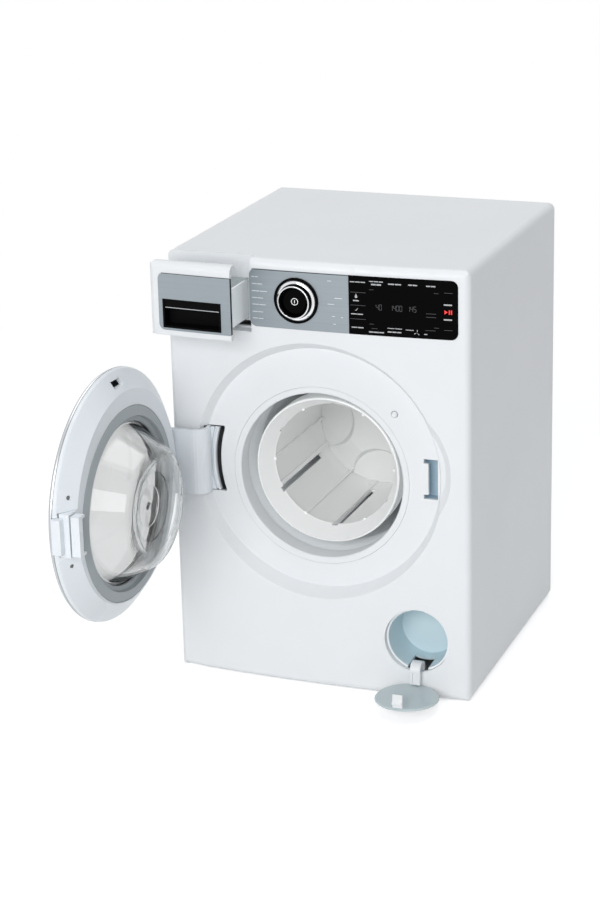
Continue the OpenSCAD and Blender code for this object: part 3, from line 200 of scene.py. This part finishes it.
def metal(name, color, rough, grain=0.05):
    """Plain metal with a faint grain."""
    mat, tree, shader = new_material(name)
    coords = object_coords(tree)
    fine = noise(tree, coords, 900.0, 3.0)
    wide = noise(tree, coords, 40.0, 2.0)
    connect(tree, shader, {
        "Base Color": tint(tree, wide, shade(color, 0.95), shade(color, 1.05)),
        "Roughness": remap(tree, wide, rough - 0.02, rough + 0.03),
        "Normal": bump(tree, fine, grain, METAL_GRAIN, edge_normal(tree, 0.15 * MM)),
        "Metallic": 1.0,
    })
    return mat


def clear_plastic(name, color, rough=0.02):
    """Clear moulded plastic with the faint waves of an injection moulding."""
    mat, tree, shader = new_material(name)
    waves = noise(tree, object_coords(tree), 26.0, 2.0)
    connect(tree, shader, {
        "Base Color": tint(tree, waves, shade(color, 0.985), color),
        "Normal": bump(tree, waves, 0.05, 0.4 * MM),
        "Roughness": rough,
        "IOR": 1.49,
        "Transmission Weight": 1.0,
    })
    return mat


def printed(name, color, painted_glow=0.0):
    """Printed marks, with a painted glow where one is given."""
    mat, tree, shader = new_material(name)
    grain = noise(tree, object_coords(tree), 1500.0, 1.0)
    connect(tree, shader, {"Base Color": tint(tree, grain, shade(color, 0.92), color), "Roughness": 0.5})
    if painted_glow:
        connect(tree, shader, {"Emission Color": (*color, 1.0), "Emission Strength": painted_glow})
    return mat


WHITE = (0.80, 0.818, 0.835)
TUB_WHITE = (0.90, 0.93, 0.95)
PALE_BLUE = (0.60, 0.73, 0.78)
DEAD_BLACK = 0.04                   # specular level of the black plastics
TUB_PAINTED_GLOW_FRONT = -50 * MM            # the tub has a painted glow in front of this Y
CUP_HIGHLIGHT_RIM = -88.2 * MM                # the filter cup's rim lies in front of this Y; it is coloured whiter there as a painted highlight

MATERIALS = {
    "white_shell": plastic("white_shell", WHITE, 0.42),
    "white_door": plastic("white_door", (0.79, 0.83, 0.865), 0.28, grain=0.03),
    "pale_grey": plastic("pale_grey", (0.62, 0.635, 0.65), 0.5, grain=0.12),
    # The drum and the tray get a painted glow: an even emission that lifts them where they lie in shade.
    "drum_white": plastic("drum_white", (0.92, 0.925, 0.92), 0.38, painted_glow=0.035),
    "tray_white": plastic("tray_white", (0.90, 0.94, 0.955), 0.42, painted_glow=0.08),
    "light_blue": plastic("light_blue", PALE_BLUE, 0.42),
    "silver_panel": brushed("silver_panel", (0.335, 0.38, 0.41), 0.40),
    "silver_ring": metal("silver_ring", (0.55, 0.57, 0.59), 0.28),
    "black_gloss": plastic("black_gloss", (0.001, 0.001, 0.0012), 0.13, grain=0.01, edge=0.2 * MM,
                           specular=DEAD_BLACK),
    "black_matte": plastic("black_matte", (0.003, 0.003, 0.0035), 0.4, grain=0.1, specular=DEAD_BLACK),
    "chrome": metal("chrome", (0.80, 0.81, 0.83), 0.08, grain=0.0),
    "clear": clear_plastic("clear", (0.93, 0.94, 0.94)),
    "grey_ring": plastic("grey_ring", (0.37, 0.405, 0.425), 0.38),
    "steel": metal("steel", (0.56, 0.57, 0.58), 0.3),
    "brass": metal("brass", (0.60, 0.45, 0.22), 0.35),
    "gear_nylon": plastic("gear_nylon", (0.78, 0.75, 0.66), 0.4),
    "board_green": plastic("board_green", (0.02, 0.14, 0.06), 0.35),
    "foot_rubber": plastic("foot_rubber", (0.06, 0.06, 0.065), 0.7, grain=0.3),
    "strike_blue": plastic("strike_blue", (0.40, 0.53, 0.62), 0.4),
    "cell_jacket": plastic("cell_jacket", (0.10, 0.13, 0.18), 0.3, coat=0.3),
}
# Nodes that look different from the rest of their slot.
LOOKS = {
    "door_pane": clear_plastic("clear_smoked", (0.70, 0.695, 0.69), 0.03),
    # Painted shade: the drum's back is coloured darker than its walls.
    "drum_back": plastic("drum_back_white", (0.76, 0.77, 0.765), 0.38),
    # Painted glow: the tub's front part gives off light to brighten the gap inside the mouth.
    "tub": two_toned("tub_white", TUB_WHITE, TUB_WHITE, 0.40,
                     "Object", "Y", "LESS_THAN", TUB_PAINTED_GLOW_FRONT, 0.12),
    # Painted shade: the flap disc's face along its +Z is coloured darker blue-grey.
    "flap_disc": two_toned("flap_white", WHITE, (0.50, 0.58, 0.60), 0.24,
                           "Normal", "Z", "GREATER_THAN", 0.7),
    # Painted highlight: the filter cup's rim is coloured whiter than the cup.
    "filter_cup": two_toned("cup_blue", PALE_BLUE, (0.86, 0.89, 0.91), 0.42,
                            "Object", "Y", "LESS_THAN", CUP_HIGHLIGHT_RIM),
    "door_screws": metal("dark_steel", (0.16, 0.165, 0.17), 0.35),
}
# The white, soft and red prints get a painted glow: an emission that brightens them.
PRINT_WHITE = printed("print_white", (0.85, 0.86, 0.87), 0.25)
PRINT_SOFT = printed("print_soft", (0.42, 0.43, 0.44), 0.12)
PRINT_DIM = printed("print_dim", (0.045, 0.045, 0.05))
PRINT_PALE = printed("print_pale", (0.78, 0.80, 0.82))
PRINT_RED = printed("print_red", (0.75, 0.03, 0.03), 0.5)


def dress_nodes():
    """Gives every CAD node its own look or its slot's material."""
    for entry in frame["record"]["subparts"]:
        obj = NODES[entry["node"]]
        obj.data.materials.clear()
        obj.data.materials.append(LOOKS.get(entry["node"], MATERIALS[entry["material_slot"]]))


# ---------------------------------------------------------------- the bowed front

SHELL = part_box("cabinet_shell")
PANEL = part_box("front_panel")
HALF_WIDTH = SHELL[1][0]
FRONT = PANEL[0][1]
FRONT_BOW = 4.1 * MM                # how far the front bows out at its middle
BOW_RADIUS = (HALF_WIDTH ** 2 + FRONT_BOW ** 2) / (2 * FRONT_BOW)


def front_at(x, proud=0.0):
    """Y of the bowed front at x, or a little in front of it."""
    return FRONT + BOW_RADIUS - math.sqrt((BOW_RADIUS + proud) ** 2 - x * x)


def on_panel(x, z):
    """A point just in front of the control panel."""
    return (x, front_at(x, 0.40 * MM), z)


def rect(x, z, w, h):
    """Corners of a rectangle centred on x, z."""
    return [(x - w / 2, z - h / 2), (x + w / 2, z - h / 2), (x + w / 2, z + h / 2), (x - w / 2, z + h / 2)]


def strip(x, z, w, h, parts):
    """A line from x over the width w, cut into parts so that it follows the bow."""
    return [rect(x + w * (i + 0.5) / parts, z, w / parts, h) for i in range(parts)]


def ring(x, z, r, t, n=28):
    """Quads of a ring of inner radius r and width t."""
    def at(radius, i):
        a = math.radians(360.0 * i / n)
        return (x + radius * math.cos(a), z + radius * math.sin(a))

    return [[at(r, i), at(r + t, i), at(r + t, i + 1), at(r, i + 1)] for i in range(n)]


def marks(name, outlines, place, material, body):
    """Flat marks: outlines in the plane of the front, set on the surface by place(x, z)."""
    verts, faces = [], []
    for outline in outlines:
        faces.append(list(range(len(verts), len(verts) + len(outline))))
        verts.extend(place(x, z) for x, z in outline)
    mesh = bpy.data.meshes.new(name)
    mesh.from_pydata(verts, [], faces)
    mesh.materials.append(material)
    obj = bpy.data.objects.new(name, mesh)
    bpy.context.scene.collection.objects.link(obj)
    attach(obj, body)
    return obj


# ---------------------------------------------------------------- marks of the control panel

# Which of the seven bars each digit lights:
# top, upper left, upper right, middle, lower left, lower right, bottom.
DIGITS = {"0": "1110111", "1": "0010010", "4": "0111010", "5": "1101011"}
DIGIT_HEIGHT = 3.1 * MM
DIGIT_STEP = 1.85                   # from one digit to the next, in millimetres

# The tables below are in millimetres from the display's lower left corner.
# Bars left of the knob: right end and height.
LEFT_TICKS = ((-55.0, 29.3), (-52.3, 25.2), (-49.4, 21.0), (-52.0, 17.0), (-50.5, 13.1), (-52.2, 8.8),
              (-52.1, 4.9))
LEFT_TICKS_START = -58.8
# Bars right of the knob: left end, right end and height.
RIGHT_TICKS = ((-12.6, -10.2, 30.0), (-8.6, -3.9, 20.2), (-12.6, -8.7, 16.5), (-10.1, -8.3, 9.5),
               (-4.7, -3.5, 9.1), (-9.5, -7.8, 5.0))
# Labels as broken bars: left end, right end, height, thickness and number of bars.
LABELS = (
    (0.9, 9.9, 30.5, 0.55, 3), (12.3, 20.3, 31.3, 0.55, 3), (13.4, 19.2, 29.6, 0.9, 2),
    (23.3, 30.9, 30.4, 0.7, 2), (34.9, 40.1, 30.5, 0.7, 2), (45.2, 50.5, 30.4, 0.7, 2),
    (2.6, 6.0, 19.7, 0.7, 1), (1.3, 8.4, 11.9, 0.6, 2), (1.5, 8.6, 4.1, 0.6, 2), (11.8, 20.6, 2.0, 0.7, 3),
    (22.7, 31.2, 4.8, 0.45, 2), (22.7, 30.7, 2.7, 0.7, 3), (33.3, 37.9, 4.5, 0.4, 1),
    (43.9, 45.8, 2.6, 0.5, 1), (55.2, 59.9, 20.2, 0.8, 1), (55.2, 59.9, 11.7, 0.8, 1))
# Rules between the fields: left end, right end and height.
RULES = ((12.2, 52.4, 26.5), (1.0, 10.2, 24.5), (0.8, 10.0, 17.0), (0.7, 9.9, 9.0), (55.4, 60.3, 27.0),
         (55.3, 60.2, 5.6), (45.1, 50.8, 14.6), (45.1, 50.8, 12.6), (13.3, 16.9, 4.1), (44.5, 50.5, 4.9),
         (12.2, 52.4, 6.6))
# Unlit numbers: their left ends. They share one height.
NUMBERS = (("40", 16.8), ("1400", 25.0), ("145", 35.0))
NUMBERS_HEIGHT = 16.6


def at_display(u, v):
    """A point of the front at u, v millimetres from the display's lower left corner."""
    (left, _, lower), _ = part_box("display_window")
    return left + u * MM, lower + v * MM


def digit(char, x, z, h):
    """Bars of a seven-segment digit of height h."""
    w = h * 0.42
    t = h * 0.10
    side = h / 2 - t
    spots = [rect(x, z + h / 2, w, t),
             rect(x - w / 2, z + h / 4, t, side), rect(x + w / 2, z + h / 4, t, side),
             rect(x, z, w, t),
             rect(x - w / 2, z - h / 4, t, side), rect(x + w / 2, z - h / 4, t, side),
             rect(x, z - h / 2, w, t)]
    return [s for s, on in zip(spots, DIGITS[char]) if on == "1"]


def dashes(u0, u1, v, t, parts):
    """A line of short bars from u0 to u1 at height v, in millimetres from the display's lower left corner."""
    gap = 0.35
    step = (u1 - u0 + gap) / parts
    return [rect(*at_display(u0 + step * (i + 0.5) - gap / 2, v), (step - gap) * MM, t * MM)
            for i in range(parts)]


def control_panel():
    """Generic marks on the fascia and the display: bars, plain numbers and symbols."""
    ticks = []
    for u1, v in LEFT_TICKS:
        ticks += dashes(LEFT_TICKS_START, u1, v, 0.4, 2)
    for u0, u1, v in RIGHT_TICKS:
        ticks += dashes(u0, u1, v, 0.4, 1)
    marks("fascia_ticks", ticks, on_panel, PRINT_PALE, "cabinet")
    bars = []
    for label in LABELS:
        bars += dashes(*label)
    marks("display_labels", bars, on_panel, PRINT_SOFT, "cabinet")
    # A drop and a tick above the left labels, a fan beside the lower ones.
    x, z = at_display(4.4, 21.9)
    drop = [(x + 0.75 * MM * math.cos(math.radians(a)), z + 0.75 * MM * math.sin(math.radians(a)))
            for a in range(150, 391, 24)] + [(x, z + 1.9 * MM)]
    x, z = at_display(4.6, 13.7)
    check = [(x + u * MM, z + v * MM)
             for u, v in ((-0.9, 0.5), (-0.3, 0.0), (0.9, 1.5), (0.6, 1.6), (-0.3, 0.5))]
    x, z = at_display(39.8, 3.1)
    fan = []
    for a in (90, 210, 330):
        ca, sa = math.cos(math.radians(a)), math.sin(math.radians(a))
        fan.append([(x, z), (x + (1.5 * ca + 0.5 * sa) * MM, z + (1.5 * sa - 0.5 * ca) * MM),
                    (x + 1.8 * ca * MM, z + 1.8 * sa * MM)])
    marks("display_symbols", [drop, check] + fan, on_panel, PRINT_SOFT, "cabinet")
    dim = []
    for group, u in NUMBERS:
        for i, char in enumerate(group):
            dim += digit(char, *at_display(u + DIGIT_STEP * i, NUMBERS_HEIGHT), DIGIT_HEIGHT)
    for u0, u1, v in RULES:
        dim += dashes(u0, u1, v, 0.28, 1)
    marks("display_dim", dim, on_panel, PRINT_DIM, "cabinet")
    # Start and pause symbol.
    x, z = at_display(56.2, 16.0)
    red = [[(x - 0.6 * MM, z - 1.25 * MM), (x + 1.3 * MM, z), (x - 0.6 * MM, z + 1.25 * MM)],
           rect(x + 2.2 * MM, z, 0.75 * MM, 2.5 * MM), rect(x + 3.4 * MM, z, 0.75 * MM, 2.5 * MM)]
    marks("start_symbol", red, on_panel, PRINT_RED, "cabinet")


def power_symbol():
    """Circle with a bar on the push button."""
    low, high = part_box("power_button")
    x, z = (low[0] + high[0]) / 2, (low[2] + high[2]) / 2
    shapes = ring(x, z, 1.75 * MM, 0.36 * MM) + [rect(x, z, 0.42 * MM, 1.9 * MM)]
    marks("power_symbol", shapes, lambda px, pz: (px, low[1] - 0.03 * MM, pz), PRINT_WHITE,
          "start_button")


# ---------------------------------------------------------------- small forms of the door and the plates

def hinge_lip():
    """Lip on the arm's neck that follows the curved edge of the slot, with a raised bead along its rim."""
    arm_low, arm_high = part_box("hinge_arm")
    low, high = arm_low[2] + 0.6 * MM, arm_high[2] - 0.6 * MM
    axis_z, reach = (arm_low[2] + arm_high[2]) / 2 - 0.5 * MM, 66.0 * MM
    face, groove, bead, back = -86.2, -84.5, -86.4, -83.6
    corner = -86.1
    rows = 24
    mesh = bmesh.new()
    rings = []
    for i in range(rows + 1):
        z = low + (high - low) * i / rows
        rim = -math.sqrt(reach ** 2 - (z - axis_z) ** 2) / MM
        section = [(-70.3, face), (rim - 3.1, face), (rim - 2.9, groove), (rim - 1.5, groove),
                   (rim - 1.4, corner), (rim - 1.1, bead), (rim - 0.3, bead), (rim, corner), (rim, back),
                   (-70.8, back)]
        rings.append([mesh.verts.new((x * MM, y * MM, z)) for x, y in section])
    for a, b in zip(rings, rings[1:]):
        for j in range(len(a)):
            k = (j + 1) % len(a)
            mesh.faces.new((a[j], a[k], b[k], b[j]))
    mesh.faces.new(rings[0][::-1])
    mesh.faces.new(rings[-1])
    bmesh.ops.recalc_face_normals(mesh, faces=mesh.faces)
    data = bpy.data.meshes.new("hinge_lip")
    mesh.to_mesh(data)
    mesh.free()
    data.materials.append(MATERIALS["white_door"])
    obj = bpy.data.objects.new("hinge_lip", data)
    bpy.context.scene.collection.objects.link(obj)
    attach(obj, "door")


def trim_lines():
    """Dark joints at the edges of the silver plates, painted shade on the drawer front's right side face, and
    the bright edge of the bar across the grip.
    """
    joint_width = 0.3 * MM
    low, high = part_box("fascia_plate")
    start = 1.8 * MM
    joint = strip(low[0] + start, high[2] - 0.22 * MM, high[0] - low[0] - start, joint_width, 16)
    marks("fascia_joint", joint, on_panel, MATERIALS["black_matte"], "cabinet")

    grip_low, grip_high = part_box("drawer_grip")
    drawn = grip_low[1] - front_at(grip_high[0], 0.35 * MM)     # the drawer's front, from the closed front
    low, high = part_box("drawer_trim")
    start = 2.4 * MM
    joint = strip(low[0] + start, high[2] + 0.05 * MM, high[0] - low[0] - start, joint_width, 16)
    marks("drawer_joint", joint, lambda x, z: (x, front_at(x, 0.30 * MM) + drawn, z),
          MATERIALS["black_matte"], "drawer")

    # Painted shade: a black strip on the drawer front's right side face, which lies in shadow.
    y0, y1, z0, z1 = 0.15 * MM, 1.9 * MM, low[2] + 0.4 * MM, high[2] - 0.2 * MM
    marks("drawer_edge_painted_shade", [[(y0, z0), (y1, z0), (y1, z1), (y0, z1)]],
          lambda y, z: (high[0] + 0.05 * MM, front_at(high[0]) + drawn + y, z),
          MATERIALS["black_matte"], "drawer")

    inset = 1.4 * MM
    edge = strip(grip_low[0] + inset, grip_high[2] - 5.0 * MM, grip_high[0] - grip_low[0] - 2 * inset,
                 0.4 * MM, 12)
    marks("grip_edge", edge, lambda x, z: (x, front_at(x, -0.25 * MM) + drawn, z), MATERIALS["silver_ring"],
          "drawer")


# ---------------------------------------------------------------- floor, light and camera

def seen_directly(tree):
    """1 for rays that see the background: from the camera, by reflection or through glass."""
    path = tree.nodes.new("ShaderNodeLightPath")
    value = path.outputs["Is Camera Ray"]
    for ray in ("Is Glossy Ray", "Is Transmission Ray"):
        value = math_node(tree, "MAXIMUM", value, path.outputs[ray])
    return value


def floor_material():
    """A pale floor that keeps the object's shadow. Seen directly it is lifted and fades into white."""
    mat = bpy.data.materials.new("floor_white")
    tree = emptied_tree(mat)
    diffuse = add_node(tree, "ShaderNodeBsdfDiffuse", {"Color": (0.85, 0.85, 0.85, 1.0)}).outputs["BSDF"]
    lift = add_node(tree, "ShaderNodeEmission", {"Strength": 0.45}).outputs["Emission"]
    lifted = add_node(tree, "ShaderNodeAddShader", {0: diffuse, 1: lift}).outputs["Shader"]
    coords = tree.nodes.new("ShaderNodeTexCoord").outputs["Object"]
    away = add_node(tree, "ShaderNodeVectorMath", {0: coords}, operation="LENGTH").outputs["Value"]
    fade = add_node(tree, "ShaderNodeMapRange", {"Value": away, "From Min": 0.3, "From Max": 0.8},
                    interpolation_type="SMOOTHSTEP").outputs["Result"]
    white = tree.nodes.new("ShaderNodeEmission").outputs["Emission"]
    seen = mixed(tree, fade, lifted, white)
    surface = mixed(tree, seen_directly(tree), diffuse, seen)
    add_node(tree, "ShaderNodeOutputMaterial", {"Surface": surface})
    return mat


def make_floor():
    """A wide floor just under the base."""
    size = 6.0
    mesh = bpy.data.meshes.new("floor")
    corners = [(-size, -size, 0), (size, -size, 0), (size, size, 0), (-size, size, 0)]
    mesh.from_pydata(corners, [], [(0, 1, 2, 3)])
    mesh.materials.append(floor_material())
    floor = bpy.data.objects.new("floor", mesh)
    floor.location.z = -0.2 * MM
    bpy.context.scene.collection.objects.link(floor)


def area_light(name, place, target, size, watts):
    """A rectangular lamp that the camera doesn't see."""
    data = bpy.data.lights.new(name, "AREA")
    data.shape = "RECTANGLE"
    data.size, data.size_y = size
    data.energy = watts
    light = bpy.data.objects.new(name, data)
    light.location = place
    light.rotation_euler = (Vector(target) - Vector(place)).to_track_quat("-Z", "Y").to_euler()
    light.visible_camera = False
    bpy.context.scene.collection.objects.link(light)


def make_light():
    """A soft cool surround that looks white, a broad lamp in front and one above."""
    world = bpy.data.worlds.new("studio")
    tree = emptied_tree(world)
    soft = add_node(tree, "ShaderNodeBackground", {"Color": (0.94, 0.97, 1.0, 1.0), "Strength": 0.38})
    white = add_node(tree, "ShaderNodeBackground", {"Color": (1.0, 1.0, 1.0, 1.0)})
    surface = mixed(tree, seen_directly(tree), soft.outputs["Background"], white.outputs["Background"])
    add_node(tree, "ShaderNodeOutputWorld", {"Surface": surface})
    bpy.context.scene.world = world
    centre = (0.0, 0.0, 130 * MM)
    area_light("key", (0.1, -2.2, 0.9), centre, (1.6, 1.2), 29.5)
    area_light("top", (0.1, 0.3, 2.0), centre, (1.6, 1.6), 12.5)


def make_camera():
    """A long lens, a little above the machine and to its right."""
    azimuth = math.radians(21.35)
    elevation = math.radians(18.50)
    roll = math.radians(-1.43)
    distance = 1.462
    pan_right = 42.6 * MM
    pan_up = 10.6 * MM
    back = Vector((math.sin(azimuth) * math.cos(elevation), -math.cos(azimuth) * math.cos(elevation),
                   math.sin(elevation)))
    level = Vector((math.cos(azimuth), math.sin(azimuth), 0.0))
    upright = back.cross(level)
    right = math.cos(roll) * level + math.sin(roll) * upright
    up = math.cos(roll) * upright - math.sin(roll) * level
    place = Vector((0.0, 0.0, 130 * MM)) + back * distance - right * pan_right - up * pan_up
    data = bpy.data.cameras.new("camera")
    data.lens = 95.07
    data.clip_end = 20.0
    camera = bpy.data.objects.new("camera", data)
    camera.matrix_world = Matrix(((right.x, up.x, back.x, place.x), (right.y, up.y, back.y, place.y),
                                  (right.z, up.z, back.z, place.z), (0.0, 0.0, 0.0, 1.0)))
    bpy.context.scene.collection.objects.link(camera)
    bpy.context.scene.camera = camera


make_camera()
make_floor()
make_light()
dress_nodes()
control_panel()
power_symbol()
hinge_lip()
trim_lines()
bpy.context.scene.view_settings.view_transform = "Standard"
